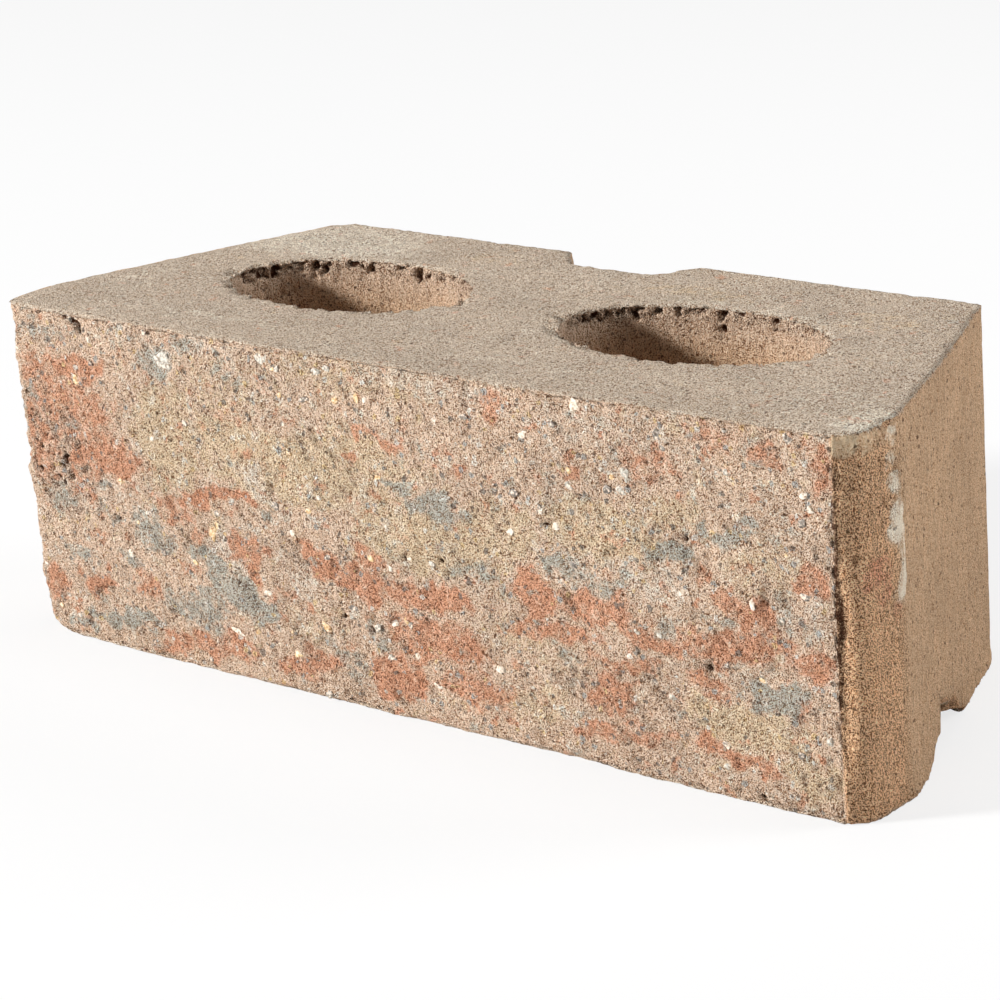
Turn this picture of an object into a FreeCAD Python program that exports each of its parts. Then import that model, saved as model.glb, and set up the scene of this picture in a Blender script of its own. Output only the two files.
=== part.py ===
import FreeCAD, Part
import math
import os

# Retaining wall block: one piece of dry-cast concrete, split along its front face.
# Millimetres. X runs along the wall, the split face looks along -Y and Z is up.
# The origin is on the bed, under the middle of the block's outer box.

# Outer sizes
WIDTH = 444.5           # across the two moulded front corners, where the block is widest
DEPTH = 177.8           # from the crown of the split face back to the rear face
HEIGHT = 152.4

# Split face
FACE_CROWN = 6.5        # its middle stands this far in front of its two upright edges
FACE_EDGE_CROWN = 3.0   # the same at the top face and at the bed, where the split runs out flatter
HOLLOW_DEPTH = 1.5      # shallow hollows between the swells of the split
HOLLOW_SPACING = 140.0

# Moulded corner on each side of the split face
RIDGE_INSET = 9.0       # each upright edge of the split face lies this far in from the full width
RIDGE_STEP = 2.0        # the edge stands this far in front of the rounded corner beside it
CORNER_RADIUS = 12.0
CORNER_LAND = 18.5      # straight strip behind the rounded corner, before the side turns in
BEND_RADIUS = 20.0      # between that strip and the side

# Sides and rear
REAR_INSET = 49.0       # each rear corner, before it is rounded, lies this far in from the full width
SIDE_BOW = 1.5          # the side swells this far beyond a straight line
REAR_CORNER_RADIUS = 4.0
NOTCH_MOUTH = 69.0      # notch down the middle of the rear face
NOTCH_FLOOR = 41.0
NOTCH_DEPTH = 17.0

# Cores: two oval holes right through
CORE_LENGTH = 121.0     # along the wall, at the top face
CORE_BREADTH = 71.0
CORE_SPACING = 181.0    # between the two centres
CORE_SETBACK = 87.4     # from the upright edges of the split face to the line through both centres
CORE_DRAFT = 1.5        # a core is this much wider all round at the bed than at the top

# Groove across the bed, in line with the cores, left by the bar that held them in the mould
GROOVE_MOUTH = 36.0
GROOVE_ROOF = 18.0
GROOVE_DEPTH = 13.0

# Cutting shapes run this far past the faces that they cut
OVERRUN = 5.0

FRONT_Y = -DEPTH / 2
REAR_Y = DEPTH / 2
RIDGE_X = WIDTH / 2 - RIDGE_INSET
RIDGE_Y = FRONT_Y + FACE_CROWN
CORE_Y = RIDGE_Y + CORE_SETBACK


def point(x, y, z=0.0):
    return FreeCAD.Vector(x, y, z)


def arc(start, middle, end):
    return Part.Arc(start, middle, end).toShape()


def bowed_line(start, end, bow):
    """A shallow arc that swells to the right of the way from start to end."""
    run = end - start
    outward = point(run.y, -run.x) / run.Length
    return arc(start, (start + end) / 2 + outward * bow, end)


def right_half(stock_y):
    """The outline from the uncut front round the right side to the floor of the rear notch."""
    centre_x = WIDTH / 2 - CORNER_RADIUS
    step_y = RIDGE_Y + RIDGE_STEP
    centre_y = step_y + math.sqrt(CORNER_RADIUS ** 2 - (RIDGE_X - centre_x) ** 2)
    centre = point(centre_x, centre_y)
    corner_start = point(RIDGE_X, step_y)
    corner_end = point(WIDTH / 2, centre_y)
    halfway = (corner_start + corner_end) / 2 - centre
    corner_middle = centre + halfway * (CORNER_RADIUS / halfway.Length)
    land_end = point(WIDTH / 2, centre_y + CORNER_LAND)
    rear_corner = point(WIDTH / 2 - REAR_INSET, REAR_Y)
    notch_edge = point(NOTCH_MOUTH / 2, REAR_Y)
    edges = [
        Part.makeLine(point(RIDGE_X, stock_y), corner_start),
        arc(corner_start, corner_middle, corner_end),
        Part.makeLine(corner_end, land_end),
        bowed_line(land_end, rear_corner, SIDE_BOW),
        Part.makeLine(rear_corner, notch_edge),
        Part.makeLine(notch_edge, point(NOTCH_FLOOR / 2, REAR_Y - NOTCH_DEPTH)),
    ]
    return edges, land_end, rear_corner


def upright_edges(solid, corner):
    """The upright edges over one corner of the outline and over its mirror image."""
    found = []
    for edge in solid.Edges:
        ends = [vertex.Point for vertex in edge.Vertexes]
        above = all(point(abs(end.x) - corner.x, end.y - corner.y).Length < 0.01 for end in ends)
        if above and abs(ends[0].z - ends[-1].z) > HEIGHT / 2:
            found.append(edge)
    return found


def moulded_stock():
    """The block as it leaves the mould: the plan outline at full height, not yet split."""
    stock_y = FRONT_Y - OVERRUN
    floor_y = REAR_Y - NOTCH_DEPTH
    half, land_end, rear_corner = right_half(stock_y)
    edges = half + [edge.mirror(point(0, 0), point(1, 0)) for edge in half]
    edges.append(Part.makeLine(point(-RIDGE_X, stock_y), point(RIDGE_X, stock_y)))
    edges.append(Part.makeLine(point(-NOTCH_FLOOR / 2, floor_y), point(NOTCH_FLOOR / 2, floor_y)))
    outline = Part.Wire(Part.__sortEdges__(edges))
    solid = Part.Face(outline).extrude(point(0, 0, HEIGHT))
    solid = solid.makeFillet(BEND_RADIUS, upright_edges(solid, land_end))
    return solid.makeFillet(REAR_CORNER_RADIUS, upright_edges(solid, rear_corner))


def split_y(x, z):
    """How far forward the split face lies: crowned both ways, with shallow hollows."""
    across = 1 - (x / RIDGE_X) ** 2
    upright = 1 - (2 * z / HEIGHT - 1) ** 2
    crown = FACE_EDGE_CROWN + (FACE_CROWN - FACE_EDGE_CROWN) * upright
    turn = 2 * math.pi / HOLLOW_SPACING
    hollow = HOLLOW_DEPTH * (1 - math.cos(turn * x) * math.cos(turn * (z - HEIGHT / 2))) / 2
    return RIDGE_Y - across * (crown - hollow)


def evenly(low, high, count):
    return [low + (high - low) * i / (count - 1) for i in range(count)]


def split_waste():
    """What breaks away in front of the split face."""
    columns = evenly(-RIDGE_X - OVERRUN, RIDGE_X + OVERRUN, 25)
    rows = evenly(-OVERRUN, HEIGHT + OVERRUN, 11)
    surface = Part.BSplineSurface()
    surface.interpolate([[point(x, split_y(x, z), z) for x in columns] for z in rows])
    return surface.toShape().extrude(point(0, -FACE_CROWN - 3 * OVERRUN))


def oval(centre_x, z):
    """A core's outline at one height, wider towards the bed by its draft."""
    wider = CORE_DRAFT * (HEIGHT - z) / HEIGHT
    length = CORE_LENGTH / 2 + wider
    breadth = CORE_BREADTH / 2 + wider
    return Part.Wire(Part.Ellipse(point(centre_x, CORE_Y, z), length, breadth).toShape())


def core(centre_x):
    levels = [-OVERRUN, GROOVE_DEPTH, HEIGHT + OVERRUN]
    return Part.makeLoft([oval(centre_x, z) for z in levels], True, True)


def groove():
    """The flared slot across the bed, from one side of the block to the other."""
    profile = [
        (-GROOVE_MOUTH / 2, -OVERRUN),
        (-GROOVE_MOUTH / 2, 0.0),
        (-GROOVE_ROOF / 2, GROOVE_DEPTH),
        (GROOVE_ROOF / 2, GROOVE_DEPTH),
        (GROOVE_MOUTH / 2, 0.0),
        (GROOVE_MOUTH / 2, -OVERRUN),
    ]
    start_x = -WIDTH / 2 - OVERRUN
    corners = [point(start_x, CORE_Y + y, z) for y, z in profile]
    section = Part.Face(Part.makePolygon(corners + corners[:1]))
    return section.extrude(point(WIDTH + 2 * OVERRUN, 0))


left_core = core(-CORE_SPACING / 2)
right_core = core(CORE_SPACING / 2)
block = moulded_stock().cut([split_waste(), left_core, right_core, groove()]).Solids[0]

os.makedirs("parts", exist_ok=True)
block.exportStep("parts/block.step")
print("block: valid", block.isValid(), "litres", round(block.Volume / 1e6, 3))
print(block.optimalBoundingBox())
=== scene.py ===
import math

import bmesh
import bpy
import numpy as np
from mathutils import Matrix, Vector, bvhtree, kdtree, noise


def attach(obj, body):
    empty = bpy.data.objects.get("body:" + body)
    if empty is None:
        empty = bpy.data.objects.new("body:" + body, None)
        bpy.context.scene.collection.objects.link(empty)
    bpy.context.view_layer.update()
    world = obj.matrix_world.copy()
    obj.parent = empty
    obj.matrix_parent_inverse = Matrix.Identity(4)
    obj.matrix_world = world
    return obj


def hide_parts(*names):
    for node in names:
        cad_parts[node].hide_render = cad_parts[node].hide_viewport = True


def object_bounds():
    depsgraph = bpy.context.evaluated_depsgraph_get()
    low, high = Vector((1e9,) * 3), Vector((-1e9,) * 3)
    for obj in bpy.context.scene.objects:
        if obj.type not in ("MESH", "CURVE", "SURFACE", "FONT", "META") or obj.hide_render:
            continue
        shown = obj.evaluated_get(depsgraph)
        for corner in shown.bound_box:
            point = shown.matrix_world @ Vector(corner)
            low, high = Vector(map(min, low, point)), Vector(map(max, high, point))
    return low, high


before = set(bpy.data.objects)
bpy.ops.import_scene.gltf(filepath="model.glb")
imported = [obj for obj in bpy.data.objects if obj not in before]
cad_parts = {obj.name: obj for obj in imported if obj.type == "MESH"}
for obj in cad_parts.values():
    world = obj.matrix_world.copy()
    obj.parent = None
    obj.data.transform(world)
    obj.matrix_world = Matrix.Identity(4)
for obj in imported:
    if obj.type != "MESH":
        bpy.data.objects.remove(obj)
cad_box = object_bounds()

# The casting. One unit of dry-cast concrete, rammed into a steel mould and stripped while soft.
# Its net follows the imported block. It is worked in millimetres, and each depth that the sections
# below add is how far the real skin lies inside the mould's clean shape.
MM = 0.001
NET_SIDE = 1.15
LOW_CORNER = np.array(cad_box[0]) / MM
HIGH_CORNER = np.array(cad_box[1]) / MM
HEIGHT = HIGH_CORNER[2]


def even_copy(node):
    """A closed copy of a CAD solid, remade as an even net of small squares."""
    mesh = node.data.copy()
    work = bmesh.new()
    work.from_mesh(mesh)
    bmesh.ops.remove_doubles(work, verts=work.verts, dist=0.01 * MM)
    work.to_mesh(mesh)
    work.free()
    copy = bpy.data.objects.new("casting", mesh)
    bpy.context.scene.collection.objects.link(copy)
    remesh = copy.modifiers.new("even_net", "REMESH")
    remesh.mode = "VOXEL"
    remesh.voxel_size = NET_SIDE * MM
    settle(copy)
    return copy


def settle(piece):
    """Works a piece's modifiers into its mesh."""
    finished = piece.evaluated_get(bpy.context.evaluated_depsgraph_get())
    piece.data = bpy.data.meshes.new_from_object(finished)
    piece.modifiers.clear()


def rows(collection, name):
    """A vector property of all of a mesh's points, one row for each."""
    found = np.empty(len(collection) * 3, np.float32)
    collection.foreach_get(name, found)
    return found.reshape(-1, 3).astype(float)


casting = even_copy(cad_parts["block"])
rest = rows(casting.data.vertices, "co") / MM
outward = rows(casting.data.vertex_normals, "vector")
x, y, z = rest.T
depth = np.zeros(len(rest))
rough = np.zeros(len(rest))    # how open the skin is: 0 where steel closed it, 1 where it crumbles
painted_shade = np.zeros(len(rest))   # painted shade: how dark each hollow, crease or gap is drawn, where shade falls

# The moulded skin. Sides, rear and cores slid against steel as the block was stripped, which left
# a close skin with fine upright drag lines and scattered blow holes a millimetre or two wide.
LEVEL_FACE = 0.6   # a face is level where its outward direction has at least this much up or down
DRAG_WIDTH, DRAG_LENGTH, DRAG_DEPTH = 2.2, 16, 0.22
BLOW_HOLE_SPACING, BLOW_HOLE_DEPTH = 7.5, 0.9
CLOSE_SKIN = 0.36


def lumps(points, size, octaves=3, shift=0.0):
    """Uneven noise of about -1 to 1 at each point, its lumps about `size` millimetres across."""
    moved = Vector((shift, -shift, 2 * shift))
    return np.array([noise.fractal(Vector(p) / size + moved, 1.0, 2.0, octaves) for p in points])


def grains(points, size, shift=0.0):
    """The distance to the nearest grain's middle: 0 there, and about 0.8 between two grains."""
    moved = Vector((shift, 3 * shift, -shift))
    return np.array([noise.voronoi(Vector(p) / size + moved)[0][0] for p in points])


def ramp(values, low, high):
    """0 at low, 1 at high and smooth between them, whichever is the larger."""
    t = np.clip((values - low) / (high - low), 0, 1)
    return t * t * (3 - 2 * t)


pressed = np.abs(outward[:, 2]) > LEVEL_FACE
moulded = ~pressed
skin = rest[moulded]
drag = lumps(skin * [1 / DRAG_WIDTH, 1 / DRAG_WIDTH, 1 / DRAG_LENGTH], 1)
blow_hole = 1 - ramp(grains(skin, BLOW_HOLE_SPACING, 5.0), 0.10, 0.20)
depth[moulded] = 0.12 + DRAG_DEPTH * np.clip(drag, -0.5, 1) + BLOW_HOLE_DEPTH * blow_hole
rough[moulded] = CLOSE_SKIN

# The top face and the bed. The ramming head and the pallet pressed both flat, and left them pale
# with cement paste, open in fine pores.
FINE_PORE_SIZE, FINE_PORE_DEPTH = 3.2, 0.45
DIP_SIZE, DIP_DEPTH = 24, 0.25
OPEN_SKIN = 0.56
skin = rest[pressed]
depth[pressed] = 0.10 + FINE_PORE_DEPTH * np.clip(lumps(skin, FINE_PORE_SIZE, 3, 9.0), 0, 1)
depth[pressed] += DIP_DEPTH * np.clip(lumps(skin, DIP_SIZE, 3, 8.0), -0.4, 1)
rough[pressed] = OPEN_SKIN

# The cores' walls and rims. The steel that formed the two holes dragged at the stiff mix as the
# block left the mould, so each rear rim is crumbled and full of cavities, and each front rim jagged.
CORE_X, CORE_Y = 90.5, 5.0
CORE_HALF_LENGTH, CORE_HALF_BREADTH = 60.5, 35.5
WALL_END = 1.08   # a core's wall ends here, with 1 at the oval itself
RIM_END = 1.18    # its worn rim ends here on the top face
WALL_SKIN = 0.48
RIM_CRUMBLE = 0.9
RIM_JAGS = 3.2
core_reach = np.hypot((np.abs(x) - CORE_X) / CORE_HALF_LENGTH, (y - CORE_Y) / CORE_HALF_BREADTH)
in_core = moulded & (core_reach < WALL_END)
rear_wall = in_core & (outward[:, 1] < 0.15)
rough[in_core] = WALL_SKIN
rear_rim = rear_wall & (z > 143)
near = rest[rear_rim]
crumbs = ramp(lumps(near, 3.0, 3, 34.0), -0.2, 0.6)
depth[rear_rim] += RIM_CRUMBLE * crumbs * ramp(near[:, 2], 144, 150)
rough[rear_rim] = np.maximum(rough[rear_rim], 0.9 * ramp(near[:, 2], 143, 149))
front_rim = in_core & (outward[:, 1] > 0.15) & (z > 144)
near = rest[front_rim]
jags = ramp(lumps(near * [1, 1, 0.4], 8, 3, 33.0), -0.3, 0.7)
depth[front_rim] += RIM_JAGS * jags * ramp(near[:, 2], 145, 150)
on_top = pressed & (z > HEIGHT / 2)
rim_top = on_top & (core_reach < RIM_END)
near = rest[rim_top]
worn = ramp(lumps(near, 4.5, 3, 32.0), -0.2, 0.5) * (1 - ramp(core_reach[rim_top], 1.0, 1.12))
nicked = ramp(lumps(near, 5.5, 3, 39.0), -0.1, 0.35) * (1 - ramp(core_reach[rim_top], 1.03, 1.17))
depth[rim_top] += np.where(near[:, 1] > CORE_Y, 1.8 * worn, 1.2 * worn + 2.3 * nicked)

# Single cavities in the rear walls near the rim: place along the wall, height, half width, half
# height, turn and strength.
WALL_CAVITIES = [
    (-149, 149, 5, 3.5, 0, 0.8), (-140, 150.5, 4, 2.2, 0, 0.7), (-131, 149.5, 3.4, 3.6, 0, 1.0),
    (-118, 150.8, 3, 2, 0, 0.7), (-110, 150.2, 3.8, 3.2, 0, 1.0), (-101, 151, 2.4, 2, 0, 0.6),
    (-93, 150.4, 2.6, 2.4, 0, 0.8), (-88, 145, 1.2, 1.2, 0, 0.5), (-82.5, 149, 2.2, 4.6, 0, 1.0),
    (-76, 148, 1.4, 1.6, 0, 0.6), (-68, 150, 3.2, 2.6, 0, 0.9), (-60, 151, 2.6, 2.2, 0, 0.8),
    (-50, 151.2, 2.2, 1.6, 0, 0.7), (-123, 145.5, 1.4, 1.2, 0, 0.6), (-102, 146, 1.0, 1.0, 0, 0.5),
    (33, 150.4, 4.5, 3.2, 0, 0.8), (40, 151, 3, 2.2, 0, 0.8), (46, 150, 2.8, 2.8, 0, 0.9),
    (53, 151, 2.6, 1.8, 0, 0.8), (60, 151, 2.6, 2, 0, 0.8), (71, 151, 2.6, 1.8, 0, 0.8),
    (79.5, 150, 3.8, 3.4, 0, 1.0), (80.5, 145, 2, 5.5, -12, 1.0), (82, 141, 2, 1.6, 0, 0.6),
    (95, 149.4, 2.4, 2, 0, 0.9), (106, 149.4, 4.2, 3.4, -15, 1.0), (109, 147, 1.8, 1.4, 0, 0.8),
    (115, 151, 2.2, 1.6, 0, 0.7), (123, 151, 2, 1.4, 0, 0.7), (131, 151, 2, 1.2, 0, 0.5),
    (66, 151.4, 2, 1.2, 0, 0.6), (88, 151, 2.4, 1.8, 0, 0.7), (138, 151, 2, 1.4, 0, 0.6),
]
CLOUD_EDGE = (0.6, 1.25)


def cover_by(places, marks):
    """How strongly a list of oval marks covers each place, 0 to 1, soft at their edges."""
    cover = np.zeros(len(places))
    for middle_a, middle_b, half_length, half_height, turn, strength in marks:
        angle = math.radians(turn)
        da = places[:, 0] - middle_a
        db = places[:, 1] - middle_b
        run = (da * math.cos(angle) + db * math.sin(angle)) / half_length
        climb = (db * math.cos(angle) - da * math.sin(angle)) / half_height
        cover = np.maximum(cover, strength * (1 - ramp(np.hypot(run, climb), *CLOUD_EDGE)))
    return cover


def wander(points, size, octaves, shifts):
    """How far each point strays, in lumps of `size`: a column of noise for each shift."""
    return np.stack([lumps(points, size, octaves, shift) for shift in shifts], 1)


CAVITY_DEPTH = 2.8
RIM_REACH = 42.0   # millimetres of top face for each unit of core_reach, behind the rims
behind_rim = rim_top & (y > CORE_Y)
for part, climb in ((rear_wall, z), (behind_rim, HEIGHT + RIM_REACH * (core_reach - 1))):
    near = rest[part]
    places = np.stack([near[:, 0], climb[part] + 1.0], 1)
    cavities = cover_by(places + 1.6 * wander(near, 2.4, 2, (35.0, 36.0)), WALL_CAVITIES)
    cavities *= ramp(lumps(near, 2.4, 2, 38.0), -0.3, 0.2)
    depth[part] += CAVITY_DEPTH * cavities
    # Painted shade in the cavities.
    painted_shade[part] = 0.8 * ramp(cavities, 0.1, 0.7)

# The corner strips. Behind each upright edge of the split the skin bends round to the side. The
# right one was poorly filled: under a closed band at the top it crumbles, and cement paste ran in
# behind it. Places on a strip are the way round it from the split's edge, and the height.
RIDGE_X = 213.25        # the split's upright edges lie this far to each side
STEP_Y = -80.4          # and the strips start here, behind them
ARC_X, ARC_Y, ARC_RADIUS = 210.25, -68.78, 12.0
ARC_START = 0.2527      # the arc's angle at the split's edge
ARC_END_WAY = 17.8      # the way round to the arc's other end
RIDGE_STEP = 2          # the split's edge stands this far in front of the strip
TORN_WAY = 19           # the left corner is torn off this far round
STRIP_END = 40.0


def by_table(values, table):
    """What a table of pairs gives at each value, in straight lines from row to row."""
    return np.interp(values, *np.array(table).T)


arc_angle = np.arctan2(np.abs(x) - ARC_X, ARC_Y - y)
on_arc = RIDGE_STEP + ARC_RADIUS * (arc_angle - ARC_START)
way_round = np.where(y < ARC_Y, on_arc, ARC_END_WAY + y - ARC_Y)
torn_corner = moulded & (x < -RIDGE_X) & (way_round < TORN_WAY)
on_strip = moulded & (np.abs(x) > RIDGE_X + 0.2) & (way_round < STRIP_END) & ~torn_corner
round_and_up = np.stack([way_round, z], 1)[on_strip]
near = rest[on_strip]
right_strip = near[:, 0] > 0
BAND_FOOT = (141.5, 144.0)   # the closed band at the top ends between these heights
below_band = 1 - ramp(near[:, 2], *BAND_FOOT)
crumbled = below_band * ramp(near[:, 2], 104, 124)
crumbled = crumbled * (1 - ramp(round_and_up[:, 0], 21, 29)) * right_strip
open_skin = 0.55 * below_band * (1 - 0.8 * ramp(round_and_up[:, 0], 26, STRIP_END))
pitting = ramp(lumps(near, 2.0, 2, 37.0), -0.05, 0.45)
strip_depth = 0.1 + (0.15 * open_skin + 0.45 * crumbled) * pitting
# The crease beside the split's edge: its width and its depth by height.
CREASE_WIDTH = [
    (0, 2), (20, 2.5), (32, 5), (45, 9), (68, 9), (85, 6), (100, 3), (118, 2), (152, 1.5),
]
CREASE_DEPTH = [
    (0, 0), (18, 0.1), (28, 0.8), (45, 1.2), (75, 1.2), (95, 0.7), (108, 0.2), (152, 0.1),
]
from_edge = np.abs(near[:, 0]) - RIDGE_X
beside = from_edge / by_table(near[:, 2], CREASE_WIDTH)
crease = (1 - ramp(beside, 0.0, 1.0)) * by_table(near[:, 2], CREASE_DEPTH)
strip_depth += crease * (1 + 0.25 * lumps(near, 6, 2, 4.0))
# Near the top and at its foot the strip stands almost level with the split's edge.
LEVEL_WITH_EDGE = [(0, 1.0), (18, 0.8), (30, 0), (85, 0), (105, 1.2), (152, 1.5)]
raised = by_table(near[:, 2], LEVEL_WITH_EDGE) * (1 - ramp(from_edge, 0, 7))
strip_depth -= raised * right_strip
STRIP_HOLE_DEPTH = 3.0
STRIP_HOLES = [
    (9, 104, 0.9, 2.2, 0, 0.6), (16, 100.8, 7, 0.5, -4, 0.4), (31, 148, 1.6, 1.4, 0, 0.5),
    (40, 140, 1, 1.4, 0, 0.5), (39.5, 135, 1, 1.2, 0, 0.5), (32, 137, 1.2, 2, 0, 0.5),
    (33, 132, 1.4, 1.4, 0, 0.5), (39, 121, 1, 1.4, 0, 0.5), (39.6, 130, 1, 2, 0, 0.5),
    (24, 138, 1.6, 2.4, 0, 0.5), (26, 122, 1.2, 2, 0, 0.4), (39, 111, 1, 2, 0, 0.4),
    (28, 98, 1.2, 2, 0, 0.4),
]
strip_holes = cover_by(round_and_up, STRIP_HOLES) * right_strip
strip_depth += STRIP_HOLE_DEPTH * strip_holes
depth[on_strip] = strip_depth
# Painted shade on the strips: in the crumbled zone, in the crease and beside the split's edge, and in the
# holes.
strip_shade = np.maximum(crumbled * (0.15 + 0.25 * pitting), 0.4 * crease)
strip_shade = np.maximum(strip_shade, 0.15 * below_band * (1 - ramp(from_edge, 0, 5)) * right_strip)
painted_shade[on_strip] = np.maximum(strip_shade, 0.8 * strip_holes)
rough[on_strip] = np.where(right_strip, 0.4 + 0.4 * open_skin / 0.55 + 0.3 * crumbled, 0.38)

# The split face. A pair of blades broke two blocks apart here, so it is rough all over: broad
# swells, then a crumble of sand and small stones, and no skin.
TEAR_ANGLE = -35   # the blades tore the face in streaks that fall this way to the right


def plates(points, size, shift):
    """Broken plates: the level of the plate at each point, 0 to 1, and how near its border is."""
    moved = Vector((shift, -shift, shift))
    found = [noise.voronoi(Vector(p) / size + moved) for p in points]
    level = np.array([noise.noise(near_two[0] * 7.3) for _, near_two in found])
    border = np.array([gaps[1] - gaps[0] for gaps, _ in found])
    return np.clip(0.5 + level, 0, 1), 1 - ramp(border, 0.02, 0.22)


on_split = (outward[:, 1] < -0.5) & (np.abs(x) < RIDGE_X + 0.3) & (y < STEP_Y + 0.4) | torn_corner
near = rest[on_split]
tear = math.radians(TEAR_ANGLE)
turned = [
    [math.cos(tear), 0, -math.sin(tear)],
    [0, 1, 0],
    [math.sin(tear), 0, math.cos(tear)],
]
along_tear = near @ np.array(turned)
warp = 2.0 * wander(near, 5, 2, (51.0, 52.0, 53.0))
large_plate, large_gap = plates((along_tear + warp) / [2.0, 1, 1], 7.0, 54.0)
small_plate, small_gap = plates(near + 0.6 * warp, 4.5, 55.0)
TORN_OPEN = [(-190, 82, 30, 26, 0, 1.0), (-205, 100, 14, 30, 0, 0.7), (-170, 60, 30, 10, 0, 0.5)]
torn_open = cover_by(near[:, [0, 2]], TORN_OPEN)
gaping = ramp(lumps(near, 16, 3, 56.0) + 0.9 * torn_open, 0.15, 0.7)
swell = 0.5 + 0.5 * lumps(near, 30, 4)
streak = 0.5 + 0.5 * lumps(along_tear / [4.5, 1, 1], 5.5, 3, 12.0)
crumble = ramp(grains(near, 5.0), 0.1, 0.9) * (0.5 + 0.5 * lumps(near, 14, 2, 6.0))
sand = 0.5 + 0.5 * lumps(near, 2.6, 2, 7.0)
HOLES = [  # cracks and holes: place along the wall, height, half sizes, turn and strength
    (-180, 149.4, 3.2, 1.0, -8, 0.7), (-174.3, 148.4, 2.6, 1.1, -30, 0.9),
    (-171, 145.0, 1.15, 3.0, 12, 0.9), (-189, 84, 1.05, 2.8, -25, 1), (-191, 80.5, 2.2, 1.05, -50, 0.8),
    (-197, 84.5, 1.8, 1.05, -40, 0.9), (-207, 90, 2, 1.05, -50, 0.8), (-204, 87.5, 1.05, 1.4, 0, 0.7),
    (-206, 77, 1.8, 1.05, -40, 0.9), (-210, 82, 1.05, 1.6, 10, 0.8), (-195, 75, 2.4, 1.05, -25, 0.9),
    (-192, 72.5, 1.05, 1.1, 0, 0.8), (-198, 79, 1.05, 1.6, 20, 0.7), (-209, 73, 1.05, 1.05, 0, 0.8),
    (-209, 100, 1.05, 1.4, 0, 0.8), (-186, 76, 1.05, 1.7, -30, 0.7), (-200, 92, 1.7, 1.05, -50, 0.6),
    (-193, 93, 1.05, 1.5, -30, 0.6), (-176, 81, 1.05, 1.6, -30, 0.6), (-182, 104, 1.05, 2, 10, 0.5),
    (-169, 68, 1.05, 1.6, 0, 0.8), (-157, 62, 1.05, 1.4, -30, 0.6), (-163, 53, 1.6, 1.05, -40, 0.5),
    (-139, 89, 1.6, 1.05, 0, 0.6), (-28, 40.5, 1.1, 1.7, 0, 0.9), (-29, 45.5, 1.05, 1.2, 0, 0.8),
    (-13, 37, 1.1, 1.6, 0, 0.9), (32, 69, 1.05, 2.6, 0, 0.9), (29, 75, 1.05, 1.05, 0, 0.7),
    (98, 112, 2, 1.05, -15, 0.9), (148, 103, 1.05, 2.2, 0, 0.8), (148, 91, 1.05, 1.4, 0, 0.8),
    (155, 51, 1.05, 1.4, 0, 0.8), (163, 95, 1.2, 1.05, 0, 0.7), (176, 2.5, 1.6, 1.05, 0, 0.8),
    (190, 143, 1.05, 1.6, 0, 0.8), (10, 73, 1.05, 1.8, 10, 0.6), (68, 107, 1.8, 1.05, 0, 0.6),
    (82, 98, 1.4, 1.05, -20, 0.7),
]
HOLE_DEPTH = 2.8
holes = cover_by(near[:, [0, 2]] + 0.9 * wander(near, 2.4, 2, (41.0, 42.0)), HOLES)
SWELL_DEPTH, STREAK_DEPTH, CRUMBLE_DEPTH, SAND_DEPTH = 0.9, 1.3, 0.7, 0.25
LARGE_PLATE_DEPTH, SMALL_PLATE_DEPTH = 1.3, 1.0
CREST = 0.6   # the highest crests stand up to this far outside the clean shape
depth[on_split] = SWELL_DEPTH * swell + STREAK_DEPTH * streak + CRUMBLE_DEPTH * crumble
depth[on_split] += SAND_DEPTH * sand + HOLE_DEPTH * holes - CREST
depth[on_split] += LARGE_PLATE_DEPTH * large_plate + SMALL_PLATE_DEPTH * small_plate
depth[on_split] += gaping * (0.8 * large_gap + 0.7 * small_gap)
RIDGE_FOOT = 24   # below this height the upright edges of the split are knocked off
KNOCK_DEPTH = 1.4
knocked = 1 - ramp(RIDGE_X - np.abs(near[:, 0]), 0, 7)
knocked = knocked * (1 - ramp(near[:, 2], 0.7 * RIDGE_FOOT, RIDGE_FOOT))
depth[on_split] += KNOCK_DEPTH * knocked
rough[on_split] = 1.0
# Painted shade in the holes, in the gaps between broken plates, and in dark specks where the face is torn
# open.
gap_shade = 0.45 * gaping * np.maximum(large_gap, small_gap)
painted_shade[on_split] = np.maximum(ramp(holes, 0.2, 0.7), gap_shade)
painted_shade[on_split] = np.maximum(painted_shade[on_split], 0.3 * torn_open * gaping)

# Painted shade in the right corner, where the split's standing edge shades the strip: how dark,
# and how far out over the strip, by height.
EDGE_SHADE = [
    (0, 0), (20, 0.05), (30, 0.5), (50, 0.65), (80, 0.75), (134, 0.7), (142, 0.5), (147, 0),
]
EDGE_SHADE_WIDTH = [(40, 0.4), (62, 0.8), (75, 1.9), (88, 1.2), (100, 0.4)]
beside_ridge = (x > RIDGE_X - 0.7) & (y > STEP_Y - 2.6) & (y < STEP_Y + 6)
edge_shade_width = by_table(z, EDGE_SHADE_WIDTH)
edge_shade = by_table(z, EDGE_SHADE) * (1 - ramp(x - RIDGE_X, edge_shade_width, edge_shade_width + 1.4))
painted_shade = np.maximum(painted_shade, edge_shade * beside_ridge)

# The edges. Most of them lost their sharpness in handling, and crumbled unevenly. The right foot and
# the right part of the rear edge are still crisp.
EDGE_ANGLE = 25
EDGE_WEAR = 3.2


def sharp_edge_tree(node):
    """Points along each sharp edge of a CAD solid, to tell how near an edge the skin is."""
    work = bmesh.new()
    work.from_mesh(node.data)
    bmesh.ops.remove_doubles(work, verts=work.verts, dist=0.01 * MM)
    points = []
    for edge in work.edges:
        if edge.calc_face_angle(0) > math.radians(EDGE_ANGLE):
            start, end = [vert.co / MM for vert in edge.verts]
            count = max(1, round((end - start).length))
            points += [start.lerp(end, i / count) for i in range(count + 1)]
    work.free()
    tree = kdtree.KDTree(len(points))
    for i, point in enumerate(points):
        tree.insert(point, i)
    tree.balance()
    return tree


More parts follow.
